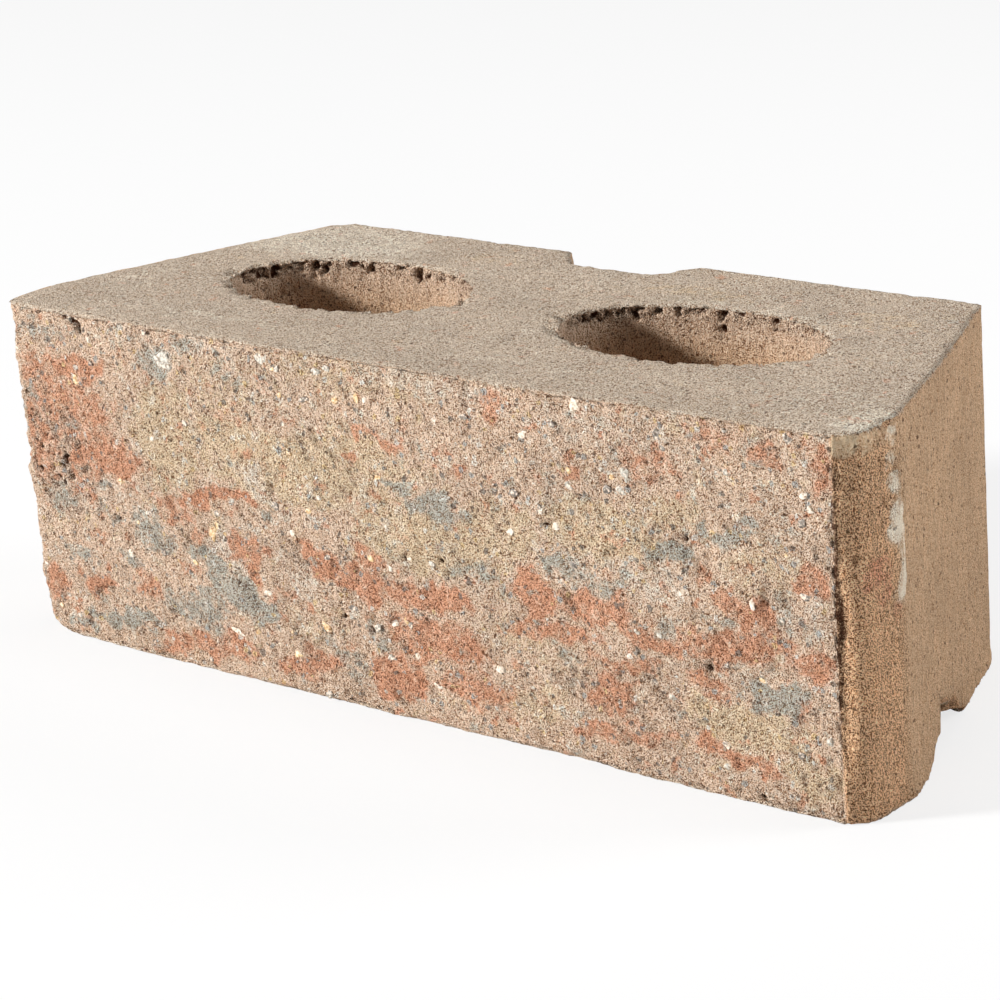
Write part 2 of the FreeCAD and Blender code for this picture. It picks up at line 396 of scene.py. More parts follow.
edge_tree = sharp_edge_tree(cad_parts["block"])
edge_gap = np.array([edge_tree.find(Vector(p))[2] for p in rest])
at_edge = edge_gap < EDGE_WEAR
near = rest[at_edge]
near_edge = 1 - ramp(edge_gap[at_edge], 0.0, EDGE_WEAR)
tooth = lumps(near, 4.5, 3, 11.0)
softness = np.where(near[:, 1] < -60, 0.35 + 0.9 * ramp(-near[:, 0], 100, 200), 0.7)
toothing = np.where(core_reach[at_edge] < 1.15, 2.0, 0.7)
crisp = (near[:, 0] > 150) & (near[:, 2] < 25) | (near[:, 0] > 20) & (near[:, 1] > 80)
softness = np.where(crisp, 0.0, softness)
toothing = np.where(crisp, 0.35, toothing)
depth[at_edge] += near_edge * (softness + toothing * np.clip(tooth, -0.5, 1))
rough[at_edge] = np.maximum(rough[at_edge], 0.7 * near_edge)
shaped = rest - outward * depth[:, None]

# The mix squeezed a little way out under the mould's foot, along the right side's lower edge.
FLASH = [
    (-54, 0.0), (-48, 1.5), (-30, 1.5), (-22, 0.0), (56, 0.0), (68, 0.6), (74, 1.4), (82, 1.4),
    (88, 0.4),
]
on_right_side = (outward[:, 0] > 0.3) & (x > 150)
flash = by_table(y, FLASH) * (1 - ramp(z, 2, 5)) * on_right_side
shaped[:, 0] += flash

# The larger breaks. Pieces came away along the lower edges and at the ends of the groove, where
# the block was lifted and set down.
SIDE_LINE = [
    (-68.8, 222.25), (-50.3, 222.25), (-44.0, 220.9), (20.0, 199.3), (84.9, 174.4), (88.9, 170.8),
]
BED_EDGE_Y = -82.4   # the split face at the bed: its two ends, and its crown in front of them
BED_CROWN = 3.0


def side_x(at_y):
    """How far from the middle the moulded side lies at its lower edge."""
    return by_table(at_y, SIDE_LINE)


def split_front(at_x):
    """How far forward the split face lies at the bed."""
    return BED_EDGE_Y - BED_CROWN * (1 - (np.clip(at_x, -RIDGE_X, RIDGE_X) / RIDGE_X) ** 2)


# How high each side's lower edge broke, by place along the block's depth.
RIGHT_BREAK = [
    (-60, -2), (-30, -2), (-24, -1), (-20, 1), (-16, 5), (-12, 8), (-6.5, 9), (-5.5, 23), (0, 21),
    (4, 19), (8, 17), (12, 15), (16, 14), (20, 12), (24, 7), (28, 4), (32, 1.6), (40, 0), (56, 0),
    (66, -2), (89, -4),
]
LEFT_BREAK = [
    (-60, 1), (-34, 1), (-20, 6), (-12, 7), (-4, 13.5), (12, 14), (21, 6), (30, 4), (48, 1), (89, 2),
]
# The same for the front's lower edge, by place along the wall.
FRONT_BREAK = [
    (-222, 14), (-213, 11), (-208, 6.5), (-200, 4), (-190, 3), (-115, 3.2), (-100, 3.6), (-76, 4.2),
    (-50, 4.2), (-28, 4.4), (-12, 3.6), (-4, 3), (4, 4.6), (40, 4.4), (92, 4.8), (104, 3.4), (124, 2.4),
    (140, 2), (222, 1.4),
]
BREAK_SLOPE = 1.1
BROKEN = 0.9   # how open the skin is where a piece broke off

ragged = 0.9 * lumps(rest, 7, 3, 13.0)
px, py, pz = shaped.T
for side, profile in ((1, RIGHT_BREAK), (-1, LEFT_BREAK)):
    rise = np.maximum(by_table(py, profile) + ragged - pz, 0)
    limit = side_x(py) - BREAK_SLOPE * rise
    beyond = (side * px > limit) & (rise > 0)
    shaped[beyond, 0] = side * limit[beyond]
    rough[beyond] = BROKEN
rise = np.maximum(by_table(px, FRONT_BREAK) + ragged - pz, 0)
limit = split_front(px) + BREAK_SLOPE * rise
beyond = (py < limit) & (rise > 0)
shaped[beyond, 1] = limit[beyond]
rough[beyond] = BROKEN

# The left side's upper edge. The top face is rubbed down along it, by two millimetres at the edge
# and less further in.
LEFT_DROP = 2.2
RUBBED_WIDTH = 16
inset = side_x(py) + px
rubbed_z = HEIGHT - LEFT_DROP * (1 - ramp(inset, 0, RUBBED_WIDTH))
rubbed_z = rubbed_z + 0.4 * ragged * (1 - ramp(inset, 0, 20))
lower = (px < 0) & (pz > rubbed_z)
shaped[lower, 2] = rubbed_z[lower]

# The chips. Small pieces were knocked off corners and edges. Each is given by the middle, then the
# half sizes, of the lumpy ball that came away.
CHIPS = [
    ((-225, -80, -7), (18, 23, 23)),      # the lower left corner of the split face
    ((194, 24, -2), (20, 9, 7)),          # the corner behind the groove's right end
    ((-75, 92, 154), (10, 7, 5)),         # the rear edge, left of the notch
    ((-214, -70, 154), (6, 4, 3)),        # a nick in the left upper edge
    ((224, -57, 152), (4, 4, 3)),         # the right strip's upper edge
]
for middle, half_sizes in CHIPS:
    offset = (shaped - middle) / half_sizes
    far = np.linalg.norm(offset, axis=1)
    about = np.flatnonzero(far < 1.4)
    lumpy = 1 + 0.2 * lumps(rest[about], 3.0, 2, 17.0)
    inside = about[far[about] < lumpy]
    lumpy = lumpy[far[about] < lumpy]
    pushed = offset[inside] / np.maximum(far[inside], 0.05)[:, None] * lumpy[:, None]
    shaped[inside] = middle + pushed * half_sizes
    rough[inside] = BROKEN

shaped = np.clip(shaped, LOW_CORNER, HIGH_CORNER)
casting.data.vertices.foreach_set("co", (shaped * MM).ravel())
casting.data.update()

# The pigments. Red, tan and grey mixes were fed together without blending, so the split shows them
# as clouds and streaks. Each cloud is given by its middle, half sizes, turn and strength.
RED_CLOUDS = [
    (-185, 112, 34, 20, -14, 0.72), (-165, 92, 26, 12, -14, 0.68), (-202, 84, 12, 18, 0, 0.6),
    (-180, 129, 12, 6, 0, 0.8), (-165, 128, 10, 5, 0, 0.8), (-208, 97, 8, 11, 0, 0.7),
    (-163, 88, 29, 8, 4, 0.9), (-146, 88, 6, 6, 0, 1.0), (-178, 73, 9, 6, 0, 0.7),
    (-173, 50, 7, 4, 0, 0.6), (-174, 29, 13, 5, 28, 1.0), (-204, 24, 11, 8, 0, 0.8),
    (-143, 35, 9, 7, 20, 0.7), (-122, 73, 15, 7, -10, 0.6), (-96, 81, 24, 4.5, 10, 1.0),
    (-76, 84, 6, 4, 0, 1.0), (-108, 62, 8, 6, 0, 0.6), (-82, 61, 14, 8, -12, 0.85),
    (-74, 51, 6, 5, 0, 0.9), (-92, 17, 12, 6, 0, 0.75), (-112, 10, 34, 5, 2, 0.8),
    (-52, 15, 24, 7, 8, 0.75), (-60, 43, 9, 4, 15, 0.6), (-39, 64, 12, 9, -15, 1.0),
    (-15, 57, 22, 8, -5, 0.9), (-8, 69, 8, 7, 0, 0.8), (20, 58, 27, 7, 0, 0.95),
    (22, 40, 30, 11, -5, 0.85), (-1, 18, 20, 13, 0, 0.95), (-12, 11, 7, 6, 0, 1.0),
    (38, 22, 22, 8, 8, 0.75), (75, 68, 13, 11, -35, 1.0), (83, 54, 26, 5, 3, 0.8),
    (105, 68, 20, 8, 0, 0.85), (132, 60, 22, 7, -8, 0.85), (115, 46, 20, 6, 0, 0.7),
    (108, 32, 13, 9, 0, 0.8), (102, 15, 13, 6, 0, 0.75), (60, 143, 10, 5, 20, 0.75),
    (97, 124, 4, 4, 0, 0.9), (2, 122, 20, 3, -12, 0.8), (42, 117, 9, 3, 0, 0.6),
    (-80, 117, 16, 3.5, -8, 0.65), (132, 130, 16, 8, 0, 0.5), (165, 145, 15, 7, 0, 0.5),
    (205, 139, 6, 12, 0, 0.8), (202, 95, 8, 8, 0, 0.8), (178, 73, 22, 7, -35, 0.85),
    (166, 62, 18, 8, 0, 0.85), (201, 61, 10, 9, 0, 0.85), (156, 45, 12, 6, 0, 0.7),
    (195, 42, 5, 4, 0, 0.8), (165, 18, 26, 4, -15, 0.8), (120, 18, 18, 5, 0, 0.6),
    (185, 138, 7, 4, 0, 0.7), (48, 18, 16, 6, 0, 0.6), (5, 30, 12, 6, 0, 0.7),
    (-165, 105, 14, 6, 0, 0.4),
]
GREY_CLOUDS = [
    (-127, 137, 12, 8, -20, 0.7), (-106, 147, 10, 4, 0, 0.7), (-150, 145, 10, 6, 0, 0.4),
    (-195, 141, 18, 6, 0, 0.55), (-214, 136, 3, 5, 0, 1.0), (-205, 113, 8, 5, 0, 0.6),
    (-183, 105, 6, 6, 0, 0.5), (-170, 76, 10, 4, 15, 0.6), (-193, 65, 16, 6, 0, 0.6),
    (-166, 63, 7, 4, 0, 0.6), (-138, 60, 15, 10, -20, 0.75), (-152, 43, 10, 5, 0, 0.7),
    (-185, 39, 16, 4, 0, 0.6), (-164, 15, 26, 5, 3, 0.9), (-190, 6, 12, 3, 0, 0.9),
    (-117, 26, 22, 9, -12, 0.7), (-88, 42, 20, 9, -28, 0.95), (-74, 36, 12, 6, 0, 0.9),
    (-108, 53, 14, 4.5, 0, 0.9), (-105, 35, 12, 6, 0, 0.7), (-75, 135, 8, 4, -15, 0.5),
    (-85, 140, 6, 3, 0, 0.5), (-28, 23, 14, 6, -15, 0.55), (-22, 15, 8, 4, 0, 0.5),
    (7, 102, 9, 3, -8, 0.9), (20, 98, 9, 4, -15, 0.9), (32, 95, 9, 6, -20, 1.0),
    (44, 96, 5, 4, 0, 0.85), (46, 73, 13, 5, 5, 0.6), (60, 65, 3, 6, 0, 0.8), (88, 83, 12, 6, -20, 0.8),
    (107, 78, 14, 4, -8, 0.6), (141, 96, 13, 4, 12, 1.0), (163, 107, 14, 4, -5, 0.85),
    (176, 112, 7, 3, 0, 0.8), (187, 46, 13, 8, 0, 0.9), (140, 66, 9, 3, 0, 0.6),
    (164, 71, 5, 3, -20, 0.7), (193, 78, 10, 8, -30, 0.5), (86, 45, 9, 6, 0, 0.5),
    (93, 24, 4, 3, 0, 0.6), (88, 34, 6, 4, 0, 0.5), (-9, 36, 8, 6, 0, 0.6), (116, 127, 8, 5, 0, 0.5),
    (175, 137, 5, 4, 0, 0.5), (166, 125, 9, 3, 0, 0.4), (102, 112, 5, 4, 0, 0.6),
    (186, 106, 6, 3, 0, 0.5),
]
TAN_CLOUDS = [
    (-122, 104, 22, 26, 0, 0.9), (-60, 102, 55, 18, -6, 0.9), (-15, 108, 40, 16, 0, 0.8),
    (20, 82, 42, 15, 0, 0.95), (60, 92, 22, 14, 0, 0.8), (108, 100, 34, 14, 0, 0.8),
    (140, 112, 16, 8, 0, 0.7), (172, 30, 32, 11, -5, 0.95), (72, 22, 22, 10, 5, 0.6),
    (82, 44, 22, 8, 0, 0.5), (200, 14, 16, 10, 0, 0.8), (-50, 32, 16, 10, 0, 0.5),
    (-15, 145, 60, 10, 0, 0.5), (-85, 130, 26, 14, 0, 0.5), (180, 95, 22, 14, 0, 0.5),
    (-97, 68, 5, 7, 0, 0.9), (0, 92, 30, 8, 0, 0.7), (60, 50, 14, 9, 0, 0.5), (-200, 55, 8, 10, 0, 0.4),
]
PALE_CLOUDS = [
    (-72, 95, 16, 6, -25, 0.7), (-46, 52, 15, 9, -20, 0.6), (-87, 53, 8, 2.5, -35, 0.9),
    (-95, 64, 6, 8, 0, 0.7), (130, 82, 22, 8, 0, 0.6), (110, 140, 40, 9, 0, 0.4),
    (20, 146, 40, 5, 0, 0.5), (-160, 78, 12, 5, 0, 0.5), (-65, 30, 10, 6, 0, 0.4),
    (-120, 137, 8, 6, 0, 0.8), (20, 50, 10, 2, 0, 0.6), (-60, 75, 10, 5, -30, 0.5),
    (-90, 145, 20, 6, 0, 0.4), (75, 115, 22, 8, 0, 0.3), (10, 12, 12, 3, 0, 0.3),
    (146, 82, 14, 5, 0, 0.4),
]
STRIP_RED = [
    (20, 97, 9, 6, 0, 0.75), (23, 89, 6, 7, 0, 0.7), (14, 94, 6, 4, 0, 0.6), (32, 78, 4, 4, 0, 0.6),
]
# Tan on the closed band at the top. Beside the split's edge it is also a painted highlight, where the
# band faces the key window.
STRIP_TAN_AND_HIGHLIGHT = [(8, 148, 15, 4, 0, 0.9)]
# Cement paste that ran or was pressed out, and dried nearly white.
STRIP_LIME = [
    (32, 147, 5, 3, 0, 0.8), (31, 137, 4, 4, 20, 0.7), (32, 128, 5, 3.5, 0, 1.0),
    (33, 117, 5, 4, 0, 0.9), (34, 109, 8, 5, 0, 1.3), (38, 98, 3, 4, 0, 1.0), (38, 90, 3.2, 4, 0, 1.2),
    (35, 84, 7, 3, 10, 1.2),
]
TOP_LIME = [
    (-150, 58, 60, 28, 0, 0.7), (-110, -59, 48, 4, 0, 0.5), (-150, -66, 30, 3, 0, 0.4),
    (190, -48, 26, 24, 0, 0.3), (215, -62, 8, 20, 0, 0.9), (60, -60, 40, 5, 0, 0.3),
    (0, 50, 16, 20, 0, 0.2), (-185, -20, 14, 40, 0, 0.3), (-90, 44, 60, 5, 0, 0.4),
    (100, 44, 60, 5, 0, 0.4), (40, -20, 20, 8, 0, 0.3),
]
TOP_TAN = [
    (185, 41, 3, 3, 0, 1.0), (187, 10, 2, 2, 0, 1.0), (204, -62, 5, 1.6, 20, 1.0),
    (-91, -44, 2.4, 1.6, 0, 1.0), (60, 55, 30, 10, 0, 0.5), (150, 50, 20, 14, 0, 0.4),
    (-60, 62, 20, 8, 0, 0.4),
]


def keep(mesh, name, values):
    """Keeps a value from 0 to 1 at each point of a mesh, for its material to read."""
    made = mesh.attributes.new(name, "FLOAT", "POINT")
    made.data.foreach_set("value", np.asarray(values, np.float32))


near = rest[on_split]
on_face = near[:, [0, 2]] + 6.0 * wander(near, 11, 4, (21.0, 23.0))
near = rest[on_top]
across_top = near[:, :2] + 5.0 * wander(near, 14, 3, (25.0, 27.0))
around = round_and_up + 0.8 * wander(rest[on_strip], 4, 2, (28.0, 29.0))
PIGMENTS = (
    ("red", RED_CLOUDS, STRIP_RED, []),
    ("grey", GREY_CLOUDS, [], []),
    ("tan", TAN_CLOUDS, STRIP_TAN_AND_HIGHLIGHT, TOP_TAN),
    ("pale", PALE_CLOUDS, [], []),
    ("lime", [], STRIP_LIME, TOP_LIME),
)
for name, split_marks, strip_marks, top_marks in PIGMENTS:
    cover = np.zeros(len(rest))
    cover[on_split] = cover_by(on_face, split_marks)
    cover[on_strip] = cover_by(around, strip_marks) * right_strip
    cover[on_top] = cover_by(across_top, top_marks)
    keep(casting.data, name, cover)
rough[on_strip] -= 0.4 * cover_by(around, STRIP_LIME + STRIP_TAN_AND_HIGHLIGHT) * right_strip
keep(casting.data, "split", on_split)
keep(casting.data, "pressed", pressed)
keep(casting.data, "core_wall", in_core * ramp(z, 122, 149))
keep(casting.data, "rough", np.clip(rough, 0, 1))
keep(casting.data, "painted_shade", painted_shade)

# The net, thinned out to fewer triangles, most of all where the skin is even.
TRIANGLE_LIMIT = 194000
thin = casting.modifiers.new("fewer_triangles", "DECIMATE")
thin.ratio = TRIANGLE_LIMIT / (2 * len(casting.data.polygons))
casting.modifiers.new("triangles_only", "TRIANGULATE")
settle(casting)
held_in = np.clip(rows(casting.data.vertices, "co") / MM, LOW_CORNER, HIGH_CORNER)
casting.data.vertices.foreach_set("co", (held_in * MM).ravel())
casting.data.shade_smooth()

# The concrete itself: pigmented cement paste round sand of several colours, in grains of about a
# millimetre, with dark pores between them. Steel or a ramming head closed the paste over the sand;
# where the block was split or crumbled the grains stand bare.


def screen_colour(red, green, blue):
    """A colour given as it looks on a screen, 0 to 255, as a shader wants it."""
    return (*((channel / 255) ** 2.2 for channel in (red, green, blue)), 1.0)


def add(tree, kind, inputs=(), **settings):
    """Adds a shader node, with its settings, and feeds its inputs values or other nodes' outputs."""
    made = tree.nodes.new("ShaderNode" + kind)
    for name, value in settings.items():
        setattr(made, name, value)
    for name, value in dict(inputs).items():
        if isinstance(value, bpy.types.NodeSocket):
            tree.links.new(value, made.inputs[name])
        else:
            made.inputs[name].default_value = value
    return made


def mixed(tree, share, first, second, how="MIX"):
    """The colour between two colours."""
    return add(tree, "Mix", {0: share, 6: first, 7: second}, data_type="RGBA", blend_type=how).outputs[2]


def maths(tree, how, first, second=0.0):
    """The sum, product or other combination of two values."""
    return add(tree, "Math", {0: first, 1: second}, operation=how).outputs[0]


def stretched(tree, value, low, high, to_low=0.0, to_high=1.0):
    """A value's range from low to high, smoothly stretched to another."""
    inputs = {"Value": value, "From Min": low, "From Max": high, "To Min": to_low, "To Max": to_high}
    return add(tree, "MapRange", inputs, interpolation_type="SMOOTHSTEP").outputs["Result"]


def steps(tree, value, stops, between="LINEAR"):
    """A ramp of colours: pairs of a place from 0 to 1 and the colour there."""
    made = add(tree, "ValToRGB", {"Fac": value})
    made.color_ramp.interpolation = between
    elements = made.color_ramp.elements
    while len(elements) < len(stops):
        elements.new(1.0)
    for element, (place, colour) in zip(elements, stops):
        element.position = place
        element.color = (*colour, 1)
    return made.outputs["Color"]


def swing(tree, value, share):
    """How far a value lies from one half, times a share."""
    return maths(tree, "MULTIPLY", maths(tree, "SUBTRACT", value, 0.5), share)


def noisy(tree, where, scale, detail, roughness=0.5):
    """Smooth noise of 0 to 1 with about `scale` lumps to the metre."""
    inputs = {"Vector": where, "Scale": scale, "Detail": detail, "Roughness": roughness}
    return add(tree, "TexNoise", inputs).outputs["Fac"]


def kept(tree, name):
    """A value that the mesh keeps at each of its points."""
    return add(tree, "Attribute", attribute_name=name).outputs["Fac"]


def toned(tree, colour, value):
    """A colour made darker or lighter, by a value of about 1."""
    tone = add(tree, "CombineColor", {0: value, 1: value, 2: value}).outputs[0]
    return mixed(tree, 1.0, colour, tone, "MULTIPLY")


PINK_CREAM = screen_colour(221, 193, 169)
TAN = screen_colour(219, 195, 163)
RED = screen_colour(212, 153, 121)
GREY = screen_colour(180, 176, 164)
PALE = screen_colour(228, 213, 196)
LIME = screen_colour(234, 222, 203)
PRESSED_PASTE = screen_colour(208, 190, 170)
MOULDED_PASTE = screen_colour(203, 169, 136)
CRUMBLED_PASTE = screen_colour(220, 176, 137)
WALL_PASTE = screen_colour(203, 176, 152)
SHADE_BROWN = screen_colour(82, 50, 30)
# What each kind of sand grain does to the colour round it. A kind starts at its share of all the
# grains, and ends where the next one starts.
SAND_KINDS = [
    (0.0, (0.42, 0.34, 0.27)),
    (0.06, (0.92, 0.82, 0.68)),
    (0.14, (0.86, 0.76, 0.66)),
    (0.24, (1.0, 1.0, 1.0)),
    (0.82, (1.12, 1.16, 1.18)),
    (0.94, (1.3, 1.4, 1.5)),
]
# The same for the coarser grit, which shows in its own colour. The last kind ends at GRIT_END.
GRIT_KINDS = [
    (0.0, screen_colour(228, 222, 212)[:3]),
    (0.05, screen_colour(120, 114, 108)[:3]),
    (0.10, screen_colour(168, 170, 168)[:3]),
    (0.15, screen_colour(222, 192, 140)[:3]),
]
# Painted shade and light of the fine crumble: dark at the bottom of its pores, light on its
# crests.
CRUMBLE_TONES = [
    (0.18, (0.13, 0.06, 0.03)),
    (0.29, (0.34, 0.20, 0.11)),
    (0.375, (0.79, 0.63, 0.49)),
    (0.45, (1.06, 1.00, 0.935)),
    (0.55, (1.19, 1.22, 1.24)),
    (0.68, (1.32, 1.43, 1.52)),
]
GRIT_END = 0.2
GRIT_REACH = 0.62
PORELESS = 0.45   # this share of the places has no pore
# How many lumps or cells each pattern has to the metre.
GRAIN_SCALE = 1000.0
GRIT_SCALE = 400.0
PORE_SCALE = 330.0
FINE_SCALE = 2000.0
PATCH_SCALE = 240.0
BROAD_SCALE = 32.0
FLECK_SCALE = 120.0
DRAG_SCALE = 800.0
SHAKE_SCALE = 1500.0
SHAKE = 0.0012   # how far that one makes the grains' outlines uneven, in metres

concrete = bpy.data.materials.new("concrete")
concrete.use_nodes = True
tree = concrete.node_tree
tree.nodes.clear()
own = add(tree, "TexCoord").outputs["Object"]
rough_here = kept(tree, "rough")
split_here = kept(tree, "split")
pressed_here = kept(tree, "pressed")

shake = add(tree, "TexNoise", {"Vector": own, "Scale": SHAKE_SCALE, "Detail": 1.0}).outputs["Color"]
shaken = add(tree, "VectorMath", {0: shake, 1: (SHAKE,) * 3}, operation="MULTIPLY").outputs[0]
shaken = add(tree, "VectorMath", {0: own, 1: shaken}, operation="ADD").outputs[0]
grain = add(tree, "TexVoronoi", {"Vector": shaken, "Scale": GRAIN_SCALE})
pick = add(tree, "SeparateColor", {"Color": grain.outputs["Color"]})
fine = noisy(tree, own, FINE_SCALE, 1.0, 0.6)
patchy = noisy(tree, own, PATCH_SCALE, 4.0, 0.6)
broad = noisy(tree, own, BROAD_SCALE, 3.0)

colour = mixed(tree, stretched(tree, rough_here, 0.35, 0.8), MOULDED_PASTE, CRUMBLED_PASTE)
colour = mixed(tree, kept(tree, "core_wall"), colour, WALL_PASTE)
colour = mixed(tree, pressed_here, colour, PRESSED_PASTE)
colour = mixed(tree, split_here, colour, PINK_CREAM)
fray = maths(tree, "ADD", swing(tree, patchy, 2.3), swing(tree, pick.outputs["Green"], 0.2))
flecked = maths(tree, "ADD", split_here, maths(tree, "MULTIPLY", pressed_here, 0.5))
FED_IN = (   # each pigment, where its flecks lie in the noise, and their strength
    ("tan", TAN, 0.1, 0.6),
    ("pale", PALE, 0.3, 0.6),
    ("lime", LIME, 0.4, 0.5),
    ("red", RED, 0.5, 0.6),
    ("grey", GREY, 0.7, 0.45),
)
for name, pigment, offset, strength in FED_IN:
    away = (offset, offset, -offset)
    elsewhere = add(tree, "VectorMath", {0: own, 1: away}, operation="ADD").outputs[0]
    fleck = noisy(tree, elsewhere, FLECK_SCALE, 3.0, 0.6)
    fleck = maths(tree, "MULTIPLY", stretched(tree, fleck, 0.53, 0.68, 0.0, strength), flecked)
    cover = maths(tree, "MAXIMUM", kept(tree, name), fleck)
    share = stretched(tree, maths(tree, "ADD", cover, fray), 0.15, 0.95, 0.0, 0.92)
    share = maths(tree, "MULTIPLY", share, stretched(tree, cover, 0.02, 0.25))
    colour = mixed(tree, share, colour, pigment)

kinds = steps(tree, pick.outputs["Red"], SAND_KINDS, "CONSTANT")
bareness = stretched(tree, rough_here, 0.1, 1.0, 0.1, 0.45)
colour = mixed(tree, bareness, colour, kinds, "MULTIPLY")
grit = add(tree, "TexVoronoi", {"Vector": shaken, "Scale": GRIT_SCALE})
grit_pick = add(tree, "SeparateColor", {"Color": grit.outputs["Color"]}).outputs
grit_reach = maths(tree, "MULTIPLY", grit_pick["Green"], GRIT_REACH)
grit_shape = maths(tree, "LESS_THAN", grit.outputs["Distance"], grit_reach)
grit_kinds = steps(tree, grit_pick["Red"], GRIT_KINDS, "CONSTANT")
grit_share = maths(tree, "MULTIPLY", grit_shape, maths(tree, "LESS_THAN", grit_pick["Red"], GRIT_END))
grit_share = maths(tree, "MULTIPLY", grit_share, maths(tree, "MULTIPLY", split_here, 0.75))
colour = mixed(tree, grit_share, colour, grit_kinds)
# Painted shade and light of the fine relief, strongest where the skin is most open.
contrast = maths(tree, "ADD", maths(tree, "MULTIPLY", rough_here, 3.1), 0.14)
contrast = maths(tree, "SUBTRACT", contrast, maths(tree, "MULTIPLY", split_here, 1.45))
relief_shade = maths(tree, "ADD", swing(tree, fine, contrast), 0.5)
colour = mixed(tree, 1.0, colour, steps(tree, relief_shade, CRUMBLE_TONES), "MULTIPLY")
# What crumbles most is made lighter as a whole, to make up for the painted shade of its many pores.
colour = toned(tree, colour, stretched(tree, contrast, 1.9, 2.6, 1.0, 1.2))
colour = toned(tree, colour, stretched(tree, broad, 0.3, 0.7, 0.94, 1.05))

# Upright drag lines, only on what slid against steel.
drawn = add(tree, "Mapping", {"Vector": own, "Scale": (1, 1, 0.12)}).outputs[0]
drag_line = stretched(tree, noisy(tree, drawn, DRAG_SCALE, 3.0, 0.65), 0.3, 0.7, 0.86, 1.12)
unsplit = maths(tree, "SUBTRACT", 1.0, split_here)
slid = maths(tree, "MULTIPLY", unsplit, maths(tree, "SUBTRACT", 1.0, pressed_here))
colour = mixed(tree, slid, colour, toned(tree, colour, drag_line))

# Pores: pinholes about three millimetres apart, in rather more than half of the places. Painted
# shade darkens them, and the deeper hollows, creases and gaps too.
pore = add(tree, "TexVoronoi", {"Vector": shaken, "Scale": PORE_SCALE})
pore_pick = add(tree, "SeparateColor", {"Color": pore.outputs["Color"]}).outputs["Red"]
hole = stretched(tree, pore.outputs["Distance"], 0.14, 0.26, 1.0, 0.0)
hole = maths(tree, "MULTIPLY", hole, maths(tree, "GREATER_THAN", pore_pick, PORELESS))
colour = mixed(tree, maths(tree, "MULTIPLY", hole, 0.7), colour, SHADE_BROWN)
painted_shade_here = kept(tree, "painted_shade")
deep = maths(tree, "SUBTRACT", painted_shade_here, swing(tree, fine, 1.0))
deep = maths(tree, "SUBTRACT", deep, swing(tree, patchy, 1.3))
deep = maths(tree, "MULTIPLY", stretched(tree, deep, 0.3, 0.8), stretched(tree, painted_shade_here, 0.02, 0.3))
colour = mixed(tree, deep, colour, SHADE_BROWN)

height = maths(tree, "MULTIPLY", fine, stretched(tree, rough_here, 0.1, 1.0, 0.35, 1.3))
height = maths(tree, "SUBTRACT", height, maths(tree, "MULTIPLY", grain.outputs["Distance"], 0.25))
height = maths(tree, "SUBTRACT", height, maths(tree, "MULTIPLY", hole, 0.6))
bump = add(tree, "Bump", {"Height": height, "Distance": 0.0016, "Strength": 1.0}).outputs[0]
surface = add(tree, "BsdfPrincipled", {"Base Color": colour, "Normal": bump, "Roughness": 0.93})
surface.inputs["Specular IOR Level"].default_value = 0.25
add(tree, "OutputMaterial", {"Surface": surface.outputs[0]})
casting.data.materials.clear()
casting.data.materials.append(concrete)
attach(casting, "root")
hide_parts("block")

# The exposed stones. Crushed quartz, slate and ochre stone in the mix were laid bare as the face
# broke, and stand a little proud of it. Each is given by its place on the face, its width, its
# height and its kind.
WHITE, GREY_STONE, DARK, OCHRE = range(4)
STONES = [
    (98, 147, 8, 7, WHITE), (144, 81, 6, 8, WHITE), (-90, 22, 10, 2.6, WHITE),
    (-63, 146, 8, 5, GREY_STONE), (-120, 137, 10, 7, GREY_STONE), (-33, 144, 7, 5, GREY_STONE),
    (-57, 18, 5, 4, OCHRE), (-1, 43, 5, 5, WHITE), (28, 132, 4, 3, WHITE), (73, 133, 5, 3, WHITE),
    (86, 97, 4, 6, WHITE), (64, 92, 4, 3, WHITE), (79, 103, 5, 6, DARK), (81, 104, 2.5, 3, WHITE),
    (121, 124, 4, 8, GREY_STONE), (203, 122, 4, 4, WHITE), (201, 127, 3, 3, WHITE),
    (19, 18.5, 5, 3, WHITE), (-24, 134, 4, 4, OCHRE), (-12, 136, 3, 5, OCHRE), (-8, 136, 2, 5, WHITE),
    (-3, 104, 6, 3, OCHRE), (-38, 35, 5, 6, OCHRE), (-100, 64, 4, 8, OCHRE), (-97, 68, 5, 6, OCHRE),
    (-52, 73, 3, 3, WHITE), (-69, 44, 6, 3, WHITE), (-176, 122, 4, 4, OCHRE),
    (-165, 141, 2.4, 2.4, WHITE), (-152, 47, 3, 3, WHITE), (115, 122, 3, 3, OCHRE),
    (83, 31, 3, 2, WHITE), (162, 22, 3, 3, WHITE), (176, 81, 4, 4, WHITE), (54, 33, 5, 3, WHITE),
    (195, 148, 5, 4, DARK), (136, 141, 6, 5, DARK), (139, 137, 4, 3, DARK), (88, 139, 4, 4, DARK),
    (44, 136, 5, 2.5, DARK), (119, 117, 6, 4, GREY_STONE), (113, 117, 4, 4, DARK),
    (199, 116, 4, 4, DARK), (200, 88, 5, 3, DARK), (207, 32, 4, 4, GREY_STONE), (95, 84, 5, 3, DARK),
    (57, 109, 4, 3, DARK), (68, 109, 4, 3, DARK), (36, 118, 3, 3, DARK), (-40, 132, 6, 2, DARK),
    (-62, 83, 5, 4, DARK), (-33, 66, 4, 2, DARK), (-22, 46, 5, 3, DARK), (-4, 27, 5, 3, GREY_STONE),
    (-72, 119, 2, 2, DARK), (8, 44, 4, 4, DARK), (24, 73, 3, 2, GREY_STONE),
    (94, 116, 4, 4, GREY_STONE), (-137, 68, 4, 2, DARK), (-212, 137, 4, 7, DARK),
]
SMALL_STONES = 60
SMALL_SIZES = (1.6, 3.0)
SMALL_PLACES = ((-211, 211), (3, 150))   # along the wall, and up
PROUD = 0.35
STONE_SEED = 5
STONE_CLOUD_SCALE = 420.0
STONE_CRUMB_SCALE = 900.0


